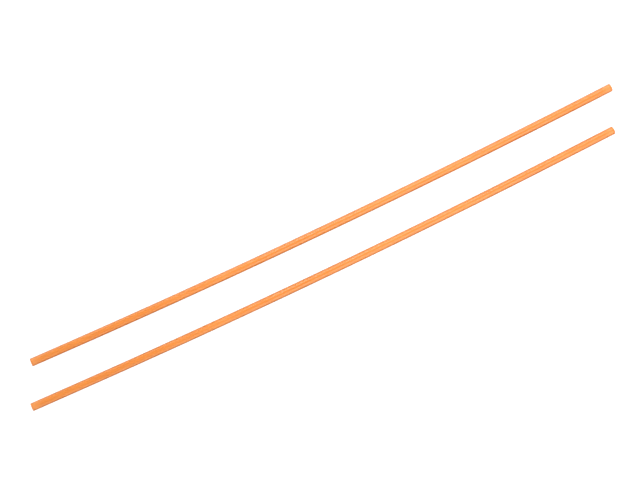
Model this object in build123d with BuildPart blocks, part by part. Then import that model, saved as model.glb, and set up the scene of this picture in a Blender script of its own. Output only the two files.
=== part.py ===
from build123d import *
from math import cos, degrees, radians, sin
import os

# A pair of golf alignment sticks, lying side by side on the ground.
# Each stick is a fibreglass tube in an orange plastic sleeve, with a plug glued into each end.
# +X runs from the butts to the tips, +Z is up, and the ground is Z = 0.
# The origin is the middle of the pair's footprint.

os.makedirs("parts", exist_ok=True)

# Driving dimensions, in millimetres and degrees

stick_length = 1016.0  # 40 inches, along the rod, from the butt's face to the tip's crown
rod_diameter = 12.7  # half an inch
sleeve_wall = 0.8
bond_gap = 0.05  # film of adhesive between the tube and the sleeve, and round the plugs
tube_wall = 1.6

# Each rod has taken a slight set: a long arc between two straight ends
end_stretch = 60.0  # straight length at each end, its plug's head included
bow_radius = 15000.0

stick_spacing = 64.0  # from one stick's centreline to the other's
stick_stagger = 28.0  # how far the first stick lies ahead of the second

butt_head_length = 3.0
butt_edge_radius = 0.5
tip_head_length = 4.0  # up to the top of its crown
tip_crown_height = 0.8
tip_edge_radius = 1.6

stem_diameter = 6.8
stem_length = 20.0
stem_nose_chamfer = 0.8
barb_count = 3
barb_pitch = 5.5
barb_length = 3.0
barb_taper = 8.0  # slope of a barb's flank, narrowing away from the head
first_barb = 2.5  # from the head to the first barb's crest

# Worked out from the driving dimensions

rod_radius = rod_diameter / 2
sleeve_bore_radius = rod_radius - sleeve_wall
tube_radius = sleeve_bore_radius - bond_gap
tube_bore_radius = tube_radius - tube_wall
barb_radius = tube_bore_radius - bond_gap
half_turn = degrees((stick_length - 2 * end_stretch) / (2 * bow_radius))
arc_reach = bow_radius * sin(radians(half_turn))
arc_rise = bow_radius * (1 - cos(radians(half_turn)))
bow_depth = arc_rise + end_stretch * sin(radians(half_turn))
ahead = stick_stagger / 2
aside = stick_spacing / 2
# The middle of each rod: the bows face -Y, so this centres the footprint
middles = [
    Vector(ahead, aside - bow_depth / 2, rod_radius),
    Vector(-ahead, -aside - bow_depth / 2, rod_radius),
]


def centreline(middle):
    """A rod's centreline from its butt plug's seat to its tip plug's seat."""
    butt_run = end_stretch - butt_head_length
    tip_run = end_stretch - tip_head_length
    start_x = -arc_reach - butt_run * cos(radians(half_turn))
    start_y = arc_rise + butt_run * sin(radians(half_turn))
    with BuildLine(Plane(middle)) as path:
        straight = PolarLine((start_x, start_y), butt_run, -half_turn)
        arc = JernArc(straight @ 1, straight % 1, bow_radius, 2 * half_turn)
        PolarLine(arc @ 1, tip_run, half_turn)
    return path.wire()


def round_tube(path, outer_radius, inner_radius):
    """A round tube that follows the rod's centreline from seat to seat."""
    with BuildPart() as tube:
        with BuildSketch(Plane(origin=path @ 0, z_dir=path % 0)):
            Circle(outer_radius)
            Circle(inner_radius, mode=Mode.SUBTRACT)
        sweep(path=path)
    return tube


def flat_head(seat):
    """The butt plug's head: a disc, flush with the sleeve, with its rim just broken."""
    with BuildPart() as head:
        with BuildSketch(seat):
            Circle(rod_radius)
        extrude(amount=butt_head_length)
        face = head.faces().sort_by(Axis(seat.origin, seat.z_dir))[-1]
        fillet(face.edges(), butt_edge_radius)
    return head.part


def crowned_head(seat):
    """The tip plug's head: its face is crowned, and its rim is well rounded."""
    lengthwise = Plane(origin=seat.origin, x_dir=seat.x_dir, z_dir=-seat.y_dir)
    crown = (0, tip_head_length)
    shoulder = (rod_radius, tip_head_length - tip_crown_height)
    with BuildPart() as head:
        with BuildSketch(lengthwise) as outline:
            with BuildLine():
                Polyline(crown, (0, 0), (rod_radius, 0), shoulder)
                TangentArc(crown, shoulder, tangent=(1, 0))
            make_face()
            rim = outline.vertices().group_by(Axis.X)[-1].sort_by(Axis.Y)[-1]
            fillet(rim, tip_edge_radius)
        revolve(axis=Axis(seat.origin, seat.z_dir))
    return head.part


def plug(head, seat):
    """A plug: its head, and the barbed stem that runs into the bore from the head's seat."""
    inward = Plane(origin=seat.origin, x_dir=seat.x_dir, z_dir=-seat.z_dir)
    with BuildPart() as whole:
        add(head)
        with BuildSketch(inward):
            Circle(stem_diameter / 2)
        extrude(amount=stem_length)
        nose = whole.faces().sort_by(Axis(seat.origin, seat.z_dir))[0]
        chamfer(nose.edges(), stem_nose_chamfer)
        for barb in range(barb_count):
            with BuildSketch(inward.offset(first_barb + barb * barb_pitch)):
                Circle(barb_radius)
            extrude(amount=barb_length, taper=barb_taper)
    return whole


def keep(piece, name):
    """Labels a finished piece and writes it."""
    piece.part.label = name
    export_step(piece.part, f"parts/{name}.step")


for number, middle in enumerate(middles, start=1):
    path = centreline(middle)
    butt_seat = Plane(origin=path @ 0, z_dir=-(path % 0))
    tip_seat = Plane(origin=path @ 1, z_dir=path % 1)
    keep(round_tube(path, tube_radius, tube_bore_radius), f"core_tube_{number}")
    keep(round_tube(path, rod_radius, sleeve_bore_radius), f"sleeve_{number}")
    keep(plug(flat_head(butt_seat), butt_seat), f"butt_plug_{number}")
    keep(plug(crowned_head(tip_seat), tip_seat), f"tip_plug_{number}")
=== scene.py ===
import math

import bmesh
import bpy
from mathutils import Matrix, Vector


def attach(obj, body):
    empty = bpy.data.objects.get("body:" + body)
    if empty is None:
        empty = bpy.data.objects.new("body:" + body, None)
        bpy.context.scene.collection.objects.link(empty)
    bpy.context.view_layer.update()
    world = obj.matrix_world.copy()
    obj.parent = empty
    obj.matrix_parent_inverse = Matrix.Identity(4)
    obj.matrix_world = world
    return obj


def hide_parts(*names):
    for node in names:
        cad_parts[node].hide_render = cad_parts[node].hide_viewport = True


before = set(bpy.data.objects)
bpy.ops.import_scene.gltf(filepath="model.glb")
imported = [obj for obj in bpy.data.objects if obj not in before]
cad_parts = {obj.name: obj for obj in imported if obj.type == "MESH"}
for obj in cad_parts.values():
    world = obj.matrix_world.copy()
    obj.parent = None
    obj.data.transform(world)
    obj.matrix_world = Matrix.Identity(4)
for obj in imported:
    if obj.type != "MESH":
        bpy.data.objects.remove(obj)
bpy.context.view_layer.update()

# The rods' dimensions, in metres, as the CAD source has them

STICK_LENGTH = 1.016
ROD_RADIUS = 0.00635
SLEEVE_BORE = 0.00555
END_STRETCH = 0.060
BOW_RADIUS = 15.0
SPACING = 0.064
STAGGER = 0.028

BUTT_HEAD = 0.003
BUTT_EDGE = 0.0005
TIP_HEAD = 0.004
TIP_CROWN = 0.0008
TIP_EDGE = 0.0016

STEM_RADIUS = 0.0034
STEM_LENGTH = 0.020
STEM_NOSE = 0.0008
BARB_COUNT = 3
BARB_RADIUS = 0.00385
BARB_PITCH = 0.0055
BARB_LENGTH = 0.003
BARB_TAPER = math.radians(8)
FIRST_BARB = 0.0025

# Fine detail that only the looks have

# Roundings of edges. The first is that of the sleeve's mouths and of the heads' seats,
# and it makes the hairline joint between them.
MOUTH_EASE = 0.00014
BORE_EASE = 0.00008
STEM_EASE = 0.0001
BARB_EASE = 0.00004
GATE_RADIUS = 0.0011
GATE_DEPTH = 0.00025
FACE_RING = ROD_RADIUS * 0.55
GATE_FLOOR = GATE_RADIUS * 0.8
GATE_SKIRT = GATE_RADIUS * 1.4
GATE_FLOOR_EASE = 0.00006
GATE_RIM_EASE = 0.00008
NUB_RADIUS = 0.0004
NUB_FOOT = NUB_RADIUS * 1.3
NUB_HEIGHT = 0.00012
NUB_EASE = 0.00005
PARTING_ANGLE = math.radians(38)
PARTING_HEIGHT = 0.00003
PARTING_WIDTH = 0.00016
PARTING_FADE = 6  # how sharply the parting line dies out towards the middle of a face
SEAM_STEPS = 3
STATION_PITCH = 0.016
SIDES = 96
CROWN_STEPS = 6
RIM_STEPS = 10
RIM_RUN = 0.0005
CROWN_EDGE_WEAR = 0.5
RIM_WEAR = 0.8
SHARP_ANGLE = math.radians(40)

ARC_HALF = STICK_LENGTH / 2 - END_STRETCH
HALF_TURN = ARC_HALF / BOW_RADIUS
BOW_DEPTH = BOW_RADIUS * (1 - math.cos(HALF_TURN)) + END_STRETCH * math.sin(HALF_TURN)
MIDDLES = {
    1: (STAGGER / 2, SPACING / 2 - BOW_DEPTH / 2),
    2: (-STAGGER / 2, -SPACING / 2 - BOW_DEPTH / 2),
}


# Shapes

def on_line(stick, along):
    """The centreline's point, and the level direction across it, that far along from the rod's middle."""
    turn = max(-ARC_HALF, min(ARC_HALF, along)) / BOW_RADIUS
    beyond = along - turn * BOW_RADIUS
    x = BOW_RADIUS * math.sin(turn) + beyond * math.cos(turn)
    y = BOW_RADIUS * (1 - math.cos(turn)) + beyond * math.sin(turn)
    point = Vector((MIDDLES[stick][0] + x, MIDDLES[stick][1] + y, ROD_RADIUS))
    return point, Vector((-math.sin(turn), math.cos(turn), 0))


def eased(corners, closed=False, steps=5):
    """An outline of (place, radius, wear) points, from corners of (place, radius, rounding).
    A rounded corner becomes an arc, and its points are where the edge is rubbed."""
    out = []
    count = len(corners)
    for i, (place, radius, rounding) in enumerate(corners):
        here = Vector((place, radius))
        inner = closed or 0 < i < count - 1
        if not rounding or not inner:
            out.append((place, radius, 0.0))
            continue
        before = Vector(corners[i - 1][:2]) - here
        after = Vector(corners[(i + 1) % count][:2]) - here
        before.normalize()
        after.normalize()
        half = before.angle(after) / 2
        centre = here + (before + after).normalized() * rounding / math.sin(half)
        start = here + before * rounding / math.tan(half) - centre
        end = here + after * rounding / math.tan(half) - centre
        sweep = start.angle_signed(end)
        for step in range(steps + 1):
            spoke = start.copy()
            spoke.rotate(Matrix.Rotation(-sweep * step / steps, 2))
            out.append((centre.x + spoke.x, centre.y + spoke.y, 1.0))
    return out


def stations(outline, closed):
    """Adds points to an outline's long runs, so that the piece can follow the rod's bow."""
    out = []
    ends = outline[1:] + outline[:1] if closed else outline[1:]
    for (s0, r0, w0), (s1, r1, w1) in zip(outline, ends):
        cuts = max(1, round(abs(s1 - s0) / STATION_PITCH))
        for cut in range(cuts):
            t = cut / cuts
            wear = w0 if cut == 0 else 0.0
            out.append((s0 + (s1 - s0) * t, r0 + (r1 - r0) * t, wear))
    if not closed:
        out.append(outline[-1])
    return out


def ring_angles(parting):
    """Angles round a ring, with a few more at the mould's parting line."""
    angles = [2 * math.pi * i / SIDES for i in range(SIDES)]
    if parting:
        step = PARTING_WIDTH / ROD_RADIUS / 2
        for seam in (PARTING_ANGLE, PARTING_ANGLE + math.pi):
            angles = [a for a in angles if abs(a - seam) > (SEAM_STEPS + 0.5) * step]
            angles += [seam + step * k for k in range(-SEAM_STEPS, SEAM_STEPS + 1)]
    return sorted(angles)


def turned(name, stick, outline, closed=False, parting=False):
    """A round piece along a rod's centreline. A radius of 0 closes it with one point.
    It carries its straightened place, so that a material can run along the rod and round it."""
    angles = ring_angles(parting)
    bm = bmesh.new()
    place_layer = bm.verts.layers.float_vector.new("rod_place")
    wear_layer = bm.verts.layers.float.new("edge_wear")
    rings = []
    for along, radius, wear in stations(outline, closed):
        point, across = on_line(stick, along)
        ring = []
        for angle in angles if radius > 0 else angles[:1]:
            r = radius
            if parting:
                gap = min(abs(angle - PARTING_ANGLE), abs(angle - PARTING_ANGLE - math.pi)) * ROD_RADIUS
                ridge = PARTING_HEIGHT * math.exp(-((gap / PARTING_WIDTH) ** 2) * 2)
                r += ridge * (radius / ROD_RADIUS) ** PARTING_FADE
            vert = bm.verts.new(point + across * (r * math.cos(angle)) + Vector((0, 0, r * math.sin(angle))))
            vert[place_layer] = (along, r * math.cos(angle), r * math.sin(angle))
            vert[wear_layer] = wear
            ring.append(vert)
        rings.append(ring)
    pairs = list(zip(rings, rings[1:] + rings[:1])) if closed else list(zip(rings, rings[1:]))
    for low, high in pairs:
        for i in range(len(angles)):
            j = (i + 1) % len(angles)
            corners = [low[i % len(low)], low[j % len(low)], high[j % len(high)], high[i % len(high)]]
            unique = list(dict.fromkeys(corners))
            if len(unique) > 2:
                bm.faces.new(unique)
    bmesh.ops.recalc_face_normals(bm, faces=bm.faces)
    mesh = bpy.data.meshes.new(name)
    bm.to_mesh(mesh)
    bm.free()
    mesh.shade_smooth()
    mesh.set_sharp_from_angle(angle=SHARP_ANGLE)
    obj = bpy.data.objects.new(name, mesh)
    bpy.context.scene.collection.objects.link(obj)
    return obj


def stem(seat):
    """Corners of a plug's barbed stem, from its seat to its nose, as depths from the end of the rod."""
    corners = [(seat, STEM_RADIUS, STEM_EASE)]
    for barb in range(BARB_COUNT):
        crest = seat + FIRST_BARB + barb * BARB_PITCH
        foot = BARB_RADIUS - BARB_LENGTH * math.tan(BARB_TAPER)
        corners += [
            (crest, STEM_RADIUS, 0),
            (crest, BARB_RADIUS, BARB_EASE),
            (crest + BARB_LENGTH, foot, 0),
            (crest + BARB_LENGTH, STEM_RADIUS, 0),
        ]
    nose = seat + STEM_LENGTH
    corners += [
        (nose - STEM_NOSE, STEM_RADIUS, STEM_EASE),
        (nose, STEM_RADIUS - STEM_NOSE, STEM_EASE),
        (nose, 0, 0),
    ]
    return corners


def gate(dip):
    """Corners of the dimple where the moulding was fed, with the nub of its gate.
    The face round it dips as dip(radius)."""
    return [
        (GATE_DEPTH - NUB_HEIGHT, 0, 0),
        (GATE_DEPTH - NUB_HEIGHT, NUB_RADIUS, NUB_EASE),
        (GATE_DEPTH, NUB_FOOT, NUB_EASE),
        (GATE_DEPTH, GATE_FLOOR, GATE_FLOOR_EASE),
        (dip(GATE_RADIUS), GATE_RADIUS, GATE_RIM_EASE),
    ]


def butt_outline():
    """The butt plug: a flat face with its rim just broken."""
    corners = gate(lambda radius: 0)
    corners += [
        (0, FACE_RING, 0),
        (0, ROD_RADIUS, BUTT_EDGE),
        (BUTT_HEAD, ROD_RADIUS, MOUTH_EASE),
    ]
    outline = eased(corners + stem(BUTT_HEAD))
    return [(depth - STICK_LENGTH / 2, radius, wear) for depth, radius, wear in outline]


def tip_outline():
    """The tip plug: a crowned face that runs into a well rounded rim."""
    crown = (ROD_RADIUS ** 2 + TIP_CROWN ** 2) / (2 * TIP_CROWN)
    rim_centre = ROD_RADIUS - TIP_EDGE
    rim_depth = crown - math.sqrt((crown - TIP_EDGE) ** 2 - rim_centre ** 2)
    rim_start = math.atan2(rim_centre, crown - rim_depth)

    def dip(radius):
        return crown - math.sqrt(crown ** 2 - radius ** 2)

    outline = eased(gate(dip) + [(dip(GATE_SKIRT), GATE_SKIRT, 0)])
    last = crown * math.sin(rim_start)
    for step in range(1, CROWN_STEPS + 1):
        radius = GATE_SKIRT + (last - GATE_SKIRT) * step / CROWN_STEPS
        outline.append((dip(radius), radius, 0.0 if step < CROWN_STEPS else CROWN_EDGE_WEAR))
    for step in range(1, RIM_STEPS + 1):
        lean = rim_start + (math.pi / 2 - rim_start) * step / RIM_STEPS
        place = (rim_depth - TIP_EDGE * math.cos(lean), rim_centre + TIP_EDGE * math.sin(lean))
        outline.append((*place, RIM_WEAR))
    seat = [(rim_depth + RIM_RUN, ROD_RADIUS, 0), (TIP_HEAD, ROD_RADIUS, MOUTH_EASE)]
    outline += eased(seat + stem(TIP_HEAD))
    return [(STICK_LENGTH / 2 - depth, radius, wear) for depth, radius, wear in outline]


def sleeve_outline():
    """The sleeve's wall from mouth to mouth, as a closed loop."""
    butt = BUTT_HEAD - STICK_LENGTH / 2
    tip = STICK_LENGTH / 2 - TIP_HEAD
    return eased([
        (butt, SLEEVE_BORE, BORE_EASE),
        (butt, ROD_RADIUS, MOUTH_EASE),
        (tip, ROD_RADIUS, MOUTH_EASE),
        (tip, SLEEVE_BORE, BORE_EASE),
    ], closed=True)


# Materials

class Tree:
    """A material with a Principled shader, and short calls to add nodes to it."""

    def __init__(self, name, colour, roughness, level=0.5):
        self.material = bpy.data.materials.new(name)
        self.material.use_nodes = True
        self.nodes = self.material.node_tree.nodes
        self.links = self.material.node_tree.links
        self.nodes.clear()
        self.shader = self.nodes.new("ShaderNodeBsdfPrincipled")
        output = self.nodes.new("ShaderNodeOutputMaterial")
        self.links.new(self.shader.outputs["BSDF"], output.inputs["Surface"])
        self.shader.inputs["Base Color"].default_value = (*colour, 1)
        self.shader.inputs["Roughness"].default_value = roughness
        self.shader.inputs["Specular IOR Level"].default_value = level
        self.material.diffuse_color = (*colour, 1)

    def put(self, value, socket):
        if isinstance(value, bpy.types.NodeSocket):
            self.links.new(value, socket)
        else:
            socket.default_value = value

    def attribute(self, name, output):
        node = self.nodes.new("ShaderNodeAttribute")
        node.attribute_name = name
        return node.outputs[output]

    def scaled(self, vector, factors):
        node = self.nodes.new("ShaderNodeVectorMath")
        node.operation = "MULTIPLY"
        self.put(vector, node.inputs[0])
        node.inputs[1].default_value = factors
        return node.outputs["Vector"]

    def along(self, vector):
        node = self.nodes.new("ShaderNodeSeparateXYZ")
        self.put(vector, node.inputs["Vector"])
        return node.outputs["X"]

    def noise(self, vector, scale, detail=3.0, roughness=0.55, distortion=0.0):
        node = self.nodes.new("ShaderNodeTexNoise")
        self.put(vector, node.inputs["Vector"])
        node.inputs["Scale"].default_value = scale
        node.inputs["Detail"].default_value = detail
        node.inputs["Roughness"].default_value = roughness
        node.inputs["Distortion"].default_value = distortion
        return node.outputs["Fac"]

    def remap(self, value, low, high, to_low, to_high):
        node = self.nodes.new("ShaderNodeMapRange")
        node.interpolation_type = "SMOOTHSTEP"
        self.put(value, node.inputs["Value"])
        for name, number in zip(("From Min", "From Max", "To Min", "To Max"), (low, high, to_low, to_high)):
            node.inputs[name].default_value = number
        return node.outputs["Result"]

    def math(self, operation, a, b=0.0):
        node = self.nodes.new("ShaderNodeMath")
        node.operation = operation
        self.put(a, node.inputs[0])
        self.put(b, node.inputs[1])
        return node.outputs["Value"]

    def mix(self, factor, a, b):
        node = self.nodes.new("ShaderNodeMix")
        node.data_type = "RGBA"
        self.put(factor, node.inputs["Factor"])
        self.put(a if isinstance(a, bpy.types.NodeSocket) else (*a, 1), node.inputs[6])
        self.put(b if isinstance(b, bpy.types.NodeSocket) else (*b, 1), node.inputs[7])
        return node.outputs[2]

    def bump(self, height, distance, strength=1.0, normal=None):
        node = self.nodes.new("ShaderNodeBump")
        self.put(height, node.inputs["Height"])
        node.inputs["Distance"].default_value = distance
        node.inputs["Strength"].default_value = strength
        if normal is not None:
            self.links.new(normal, node.inputs["Normal"])
        return node.outputs["Normal"]


def sleeve_plastic():
    """Extruded orange skin: die lines along it, a slight orange peel, faint hairline scratches,
    duller ends where it is handled, and rubbed mouths."""
    t = Tree("sleeve_plastic", (0.785, 0.231, 0.023), 0.30)
    place = t.attribute("rod_place", "Vector")
    wear = t.attribute("edge_wear", "Fac")
    cloud = t.noise(t.scaled(place, (14, 60, 60)), 1.0, 3, 0.5)
    streak = t.noise(t.scaled(place, (5, 1500, 1500)), 1.0, 3, 0.6)
    speck = t.noise(place, 2600, 2, 0.5)
    peel = t.noise(t.scaled(place, (520, 700, 700)), 1.0, 2, 0.5)
    hair = t.noise(t.scaled(place, (26, 2100, 2100)), 1.0, 1, 0.5, 0.4)
    hair = t.remap(t.math("ABSOLUTE", t.math("SUBTRACT", hair, 0.5)), 0.0, 0.012, 1.0, 0.0)
    sparse = t.remap(t.noise(t.scaled(place, (30, 160, 160)), 1.0, 2), 0.52, 0.66, 0.0, 1.0)
    hair = t.math("MULTIPLY", hair, sparse)
    from_middle = t.math("ABSOLUTE", t.along(place))
    handled = t.remap(from_middle, 0.33, 0.50, 0.0, 1.0)
    colour = t.mix(t.remap(cloud, 0.3, 0.7, 0.0, 1.0), (0.765, 0.216, 0.020), (0.805, 0.246, 0.026))
    colour = t.mix(t.remap(streak, 0.45, 0.70, 0.0, 0.6), colour, (0.83, 0.285, 0.045))
    colour = t.mix(t.remap(streak, 0.30, 0.48, 0.5, 0.0), colour, (0.72, 0.190, 0.017))
    colour = t.mix(t.remap(speck, 0.62, 0.75, 0.0, 0.25), colour, (0.62, 0.15, 0.03))
    colour = t.mix(t.math("MULTIPLY", hair, 0.45), colour, (0.95, 0.50, 0.24))
    colour = t.mix(t.math("MULTIPLY", wear, 0.35), colour, (0.93, 0.40, 0.14))
    t.links.new(colour, t.shader.inputs["Base Color"])
    rough = t.remap(cloud, 0.3, 0.7, 0.27, 0.33)
    rough = t.math("ADD", rough, t.remap(streak, 0.3, 0.7, -0.03, 0.05))
    rough = t.math("ADD", rough, t.math("MULTIPLY", hair, 0.18))
    rough = t.math("ADD", rough, t.math("MULTIPLY", handled, 0.05))
    rough = t.math("ADD", rough, t.math("MULTIPLY", wear, 0.12))
    t.links.new(rough, t.shader.inputs["Roughness"])
    normal = t.bump(streak, 0.00003)
    normal = t.bump(peel, 0.00002, normal=normal)
    normal = t.bump(t.math("MULTIPLY", hair, -1.0), 0.00002, normal=normal)
    t.links.new(normal, t.shader.inputs["Normal"])
    return t.material


def plug_plastic():
    """Moulded orange plastic: a fine spark-eroded grain, flow marks, and a rim that is rubbed pale."""
    t = Tree("plug_plastic", (0.775, 0.223, 0.022), 0.36)
    place = t.attribute("rod_place", "Vector")
    wear = t.attribute("edge_wear", "Fac")
    grain = t.noise(place, 5200, 3, 0.6)
    flow = t.noise(t.scaled(place, (260, 420, 420)), 1.0, 3, 0.55, 0.8)
    rub = t.noise(place, 1500, 3, 0.6)
    rubbed = t.math("MULTIPLY", wear, t.remap(rub, 0.35, 0.65, 0.2, 1.0))
    colour = t.mix(t.remap(flow, 0.3, 0.7, 0.0, 1.0), (0.745, 0.206, 0.018), (0.805, 0.240, 0.025))
    colour = t.mix(t.remap(grain, 0.60, 0.78, 0.0, 0.25), colour, (0.60, 0.14, 0.028))
    colour = t.mix(t.math("MULTIPLY", rubbed, 0.25), colour, (0.93, 0.42, 0.16))
    t.links.new(colour, t.shader.inputs["Base Color"])
    rough = t.math("ADD", t.remap(flow, 0.3, 0.7, 0.32, 0.40), t.math("MULTIPLY", rubbed, 0.14))
    t.links.new(rough, t.shader.inputs["Roughness"])
    normal = t.bump(grain, 0.000014)
    normal = t.bump(flow, 0.00001, normal=normal)
    t.links.new(normal, t.shader.inputs["Normal"])
    return t.material


def glass_fibre():
    """Pultruded fibreglass: pale resin with glass rovings along the tube, and a few darker resin lines."""
    t = Tree("glass_fibre", (0.70, 0.66, 0.50), 0.62)
    coordinates = t.nodes.new("ShaderNodeTexCoord").outputs["Object"]
    roving = t.noise(t.scaled(coordinates, (9, 1700, 1700)), 1.0, 5, 0.65)
    resin = t.noise(t.scaled(coordinates, (18, 260, 260)), 1.0, 3, 0.5)
    dust = t.noise(coordinates, 1800, 2)
    colour = t.mix(t.remap(roving, 0.30, 0.70, 0.0, 1.0), (0.56, 0.52, 0.37), (0.80, 0.77, 0.63))
    colour = t.mix(t.remap(resin, 0.45, 0.75, 0.0, 0.5), colour, (0.62, 0.55, 0.34))
    colour = t.mix(t.remap(dust, 0.60, 0.75, 0.0, 0.3), colour, (0.86, 0.85, 0.80))
    t.links.new(colour, t.shader.inputs["Base Color"])
    t.links.new(t.remap(roving, 0.3, 0.7, 0.52, 0.74), t.shader.inputs["Roughness"])
    t.links.new(t.bump(roving, 0.00004), t.shader.inputs["Normal"])
    return t.material


def pale_surface(name, colour, glow):
    """The studio's floor, wall and cards: pale and matt, with a faint tooth and a glow of their own."""
    t = Tree(name, colour, 0.85, 0.15)
    coordinates = t.nodes.new("ShaderNodeTexCoord").outputs["Object"]
    tooth = t.noise(coordinates, 400, 2)
    t.links.new(t.remap(tooth, 0.3, 0.7, 0.80, 0.90), t.shader.inputs["Roughness"])
    t.shader.inputs["Emission Color"].default_value = (1, 1, 1, 1)
    t.shader.inputs["Emission Strength"].default_value = glow
    return t.material


# The sticks

sleeve_look = sleeve_plastic()
plug_look = plug_plastic()
fibre_look = glass_fibre()

for stick in MIDDLES:
    skin = turned(f"sleeve_skin_{stick}", stick, sleeve_outline(), closed=True)
    butt = turned(f"butt_cap_{stick}", stick, butt_outline(), parting=True)
    tip = turned(f"tip_cap_{stick}", stick, tip_outline(), parting=True)
    for piece, look, node, slot in (
        (skin, sleeve_look, f"sleeve_{stick}", "orange_sleeve"),
        (butt, plug_look, f"butt_plug_{stick}", "orange_plug"),
        (tip, plug_look, f"tip_plug_{stick}", "orange_plug"),
    ):
        piece.data.materials.append(look)
        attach(piece, f"stick_{stick}")
        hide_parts(node)
    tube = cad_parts[f"core_tube_{stick}"]
    tube.data.materials.clear()
    tube.data.materials.append(fibre_look)

# The studio

FLOOR_RADIUS = 30.0
WALL_RADIUS = 31.0
WALL_FOOT = -10.0
WALL_TOP = 17.0
CARD_RADIUS = 29.0
# The cards end where their distance to the side falls to this share of their radius
CARD_REACH = 0.5
RIM_POINTS = 96
FLOOR_GLOW = 0.86
WALL_GLOW = 1.00
CARD_GLOW = 3.00
HORIZON = 0.1  # the sky's strength changes between this far below and above the level


def rim(bm, radius, height):
    """A ring of points round the studio."""
    turns = [2 * math.pi * i / RIM_POINTS for i in range(RIM_POINTS)]
    return [bm.verts.new((radius * math.cos(turn), radius * math.sin(turn), height)) for turn in turns]


def studio_piece(name, bm, look):
    """A piece of the studio. It throws no diffuse light on the sticks."""
    mesh = bpy.data.meshes.new(name)
    bm.to_mesh(mesh)
    bm.free()
    mesh.materials.append(look)
    obj = bpy.data.objects.new(name, mesh)
    obj.visible_diffuse = False
    bpy.context.scene.collection.objects.link(obj)
    return obj


def band(radius, reach=-1.0):
    """An upright band round the studio, where it lies further to a side than that share of its radius.
    A reach below 0 keeps it all round."""
    bm = bmesh.new()
    foot = rim(bm, radius, WALL_FOOT)
    top = rim(bm, radius, WALL_TOP)
    for i in range(RIM_POINTS):
        j = (i + 1) % RIM_POINTS
        if abs(foot[i].co.y) > reach * radius:
            bm.faces.new((foot[i], top[i], top[j], foot[j]))
    loose = [vert for vert in bm.verts if not vert.link_faces]
    bmesh.ops.delete(bm, geom=loose, context="VERTS")
    return bm


def pale_floor():
    """A round floor that glows enough to stay white beside the sticks, and that their gloss doesn't show."""
    bm = bmesh.new()
    bm.faces.new(rim(bm, FLOOR_RADIUS, 0))
    floor = studio_piece("floor", bm, pale_surface("floor_surface", (0.40, 0.40, 0.40), FLOOR_GLOW))
    floor.visible_glossy = False


def far_wall():
    """A pale wall all round, beyond the floor's edge and below it."""
    look = pale_surface("wall_surface", (0.90, 0.90, 0.90), WALL_GLOW)
    wall = studio_piece("wall", band(WALL_RADIUS), look)
    wall.visible_glossy = False
    wall.visible_shadow = False


def side_cards():
    """A long curved card on each side of the sticks, which their flanks reflect.
    The camera doesn't see it."""
    look = pale_surface("card_surface", (0.90, 0.90, 0.90), CARD_GLOW)
    cards = studio_piece("side_cards", band(CARD_RADIUS, CARD_REACH), look)
    cards.visible_camera = False
    cards.visible_shadow = False


def sun(name, toward, strength, spread, in_gloss=True):
    """Soft light from far off. Strength 1 lights a white floor to white."""
    data = bpy.data.lights.new(name, "SUN")
    data.energy = strength * math.pi
    data.angle = math.radians(spread)
    obj = bpy.data.objects.new(name, data)
    obj.rotation_mode = "QUATERNION"
    obj.rotation_quaternion = Vector(toward).normalized().to_track_quat("Z", "Y")
    obj.visible_glossy = in_gloss
    bpy.context.scene.collection.objects.link(obj)


def softbox(name, centre, aim, watts, width, height):
    """A rectangular soft light that faces a point."""
    data = bpy.data.lights.new(name, "AREA")
    data.shape = "RECTANGLE"
    data.size = width
    data.size_y = height
    data.energy = watts
    obj = bpy.data.objects.new(name, data)
    obj.location = centre
    obj.rotation_mode = "QUATERNION"
    obj.rotation_quaternion = (Vector(centre) - Vector(aim)).to_track_quat("Z", "Y")
    obj.visible_camera = False
    bpy.context.scene.collection.objects.link(obj)


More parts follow.
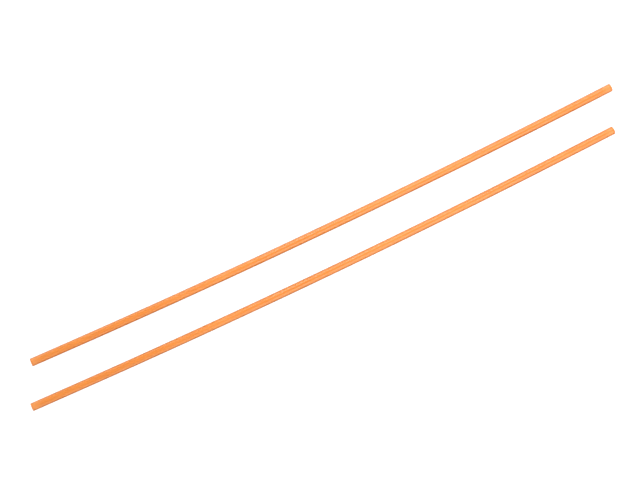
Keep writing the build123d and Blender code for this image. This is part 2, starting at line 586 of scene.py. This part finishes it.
def sky(below, above):
    """Even light from all round, stronger from above the floor than from below it."""
    world = bpy.data.worlds.new("sky")
    world.use_nodes = True
    nodes, links = world.node_tree.nodes, world.node_tree.links
    background = nodes["Background"]
    background.inputs["Color"].default_value = (1, 1, 1, 1)
    height = nodes.new("ShaderNodeSeparateXYZ")
    links.new(nodes.new("ShaderNodeTexCoord").outputs["Generated"], height.inputs[0])
    ramp = nodes.new("ShaderNodeMapRange")
    for name, number in zip(("From Min", "From Max", "To Min", "To Max"), (-HORIZON, HORIZON, below, above)):
        ramp.inputs[name].default_value = number
    links.new(height.outputs["Z"], ramp.inputs["Value"])
    links.new(ramp.outputs["Result"], background.inputs["Strength"])
    bpy.context.scene.world = world


pale_floor()
far_wall()
side_cards()
sun("main_light", (0.0, 0.0, 1.0), 0.24, 90)
sun("tip_fill", (1.0, 0.0, 0.08), 0.45, 16, in_gloss=False)
sun("butt_fill", (-1.0, 0.0, 0.08), 0.45, 16, in_gloss=False)
softbox("front_softbox", (0.40, -1.05, 1.0), (0.15, 0.0, 0.0), 10.5, 1.1, 0.5)
softbox("rear_softbox", (0.40, 0.85, 1.2), (0.15, 0.0, 0.0), 12.5, 1.1, 0.32)
sky(0.05, 0.36)
bpy.context.scene.view_settings.view_transform = "Standard"

# The camera, at the photograph's angle: nearly straight down, with a long lens

CAMERA_AZIMUTH = math.radians(-25.78)
CAMERA_ELEVATION = math.radians(80)
CAMERA_DISTANCE = 3.360
CAMERA_TARGET = Vector((-0.0041, 0.0153, ROD_RADIUS))

back = Vector((
    math.sin(CAMERA_AZIMUTH) * math.cos(CAMERA_ELEVATION),
    -math.cos(CAMERA_AZIMUTH) * math.cos(CAMERA_ELEVATION),
    math.sin(CAMERA_ELEVATION),
))
camera_data = bpy.data.cameras.new("camera")
camera_data.lens = 120
camera_data.sensor_width = 36
camera_data.clip_end = 200
camera = bpy.data.objects.new("camera", camera_data)
camera.location = CAMERA_TARGET + back * CAMERA_DISTANCE
camera.rotation_mode = "QUATERNION"
camera.rotation_quaternion = (-back).to_track_quat("-Z", "Y")
bpy.context.scene.collection.objects.link(camera)
bpy.context.scene.camera = camera
